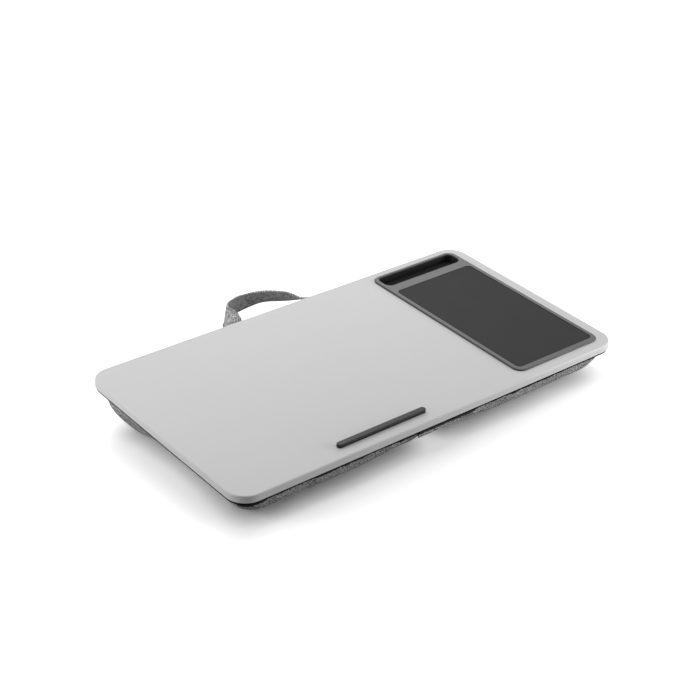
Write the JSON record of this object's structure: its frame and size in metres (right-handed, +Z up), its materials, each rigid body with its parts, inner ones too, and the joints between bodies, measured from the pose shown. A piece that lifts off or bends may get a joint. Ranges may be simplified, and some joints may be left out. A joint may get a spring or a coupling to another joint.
{
  "type": "lap tray with cushion",
  "caption": "Flat rectangular lap tray for a laptop on a two-bolster wedge cushion, with a mouse pad inlay, a phone slot, a stop bar and a cloth strap handle.",
  "frame": {"origin": "on the resting surface, under the middle of the whole tray's box, strap handle included", "axes": "+X along the board towards the mouse pad, +Y from the user towards the strap handle, +Z up; the board's top face tilts down towards the user"},
  "size_m": [0.55, 0.3742, 0.0671],
  "materials": {
    "board_grey": "fine matt light grey laminate",
    "panel_black": "black hardboard",
    "zinc_steel": "zinc plated",
    "frame_grey": "moulded, fine satin",
    "adhesive": "double-sided sheet",
    "liner_black": "soft matt",
    "pad_charcoal": "fine textured surface",
    "bar_black": "satin",
    "lining_cloth": "plain black cloth",
    "heather_fabric": "heather grey weave",
    "fibre_fill": "polyester fibre"
  },
  "bodies": {
    "tray": {"top_board": "board_grey", "base_panel": "panel_black", "panel_screws": "zinc_steel", "inlay_frame": "frame_grey", "frame_tape": "adhesive", "slot_liner": "liner_black", "pad_tape": "adhesive", "mouse_pad": "pad_charcoal", "stop_bar": "bar_black", "cushion_lining": "lining_cloth", "cover_right": "heather_fabric", "cover_left": "heather_fabric", "filling_right": "fibre_fill", "filling_left": "fibre_fill", "centre_web": "heather_fabric", "strap_end_left": "heather_fabric", "strap_end_right": "heather_fabric"},
    "handle": {"handle_strap": "heather_fabric"}
  },
  "joints": [
    {"name": "handle_swing", "type": "hinge", "parent": "tray", "child": "handle", "pos_m": [0, 0.1056, 0.05514], "axis": [1, 0, 0], "range_deg": [-22, 90]}
  ]
}
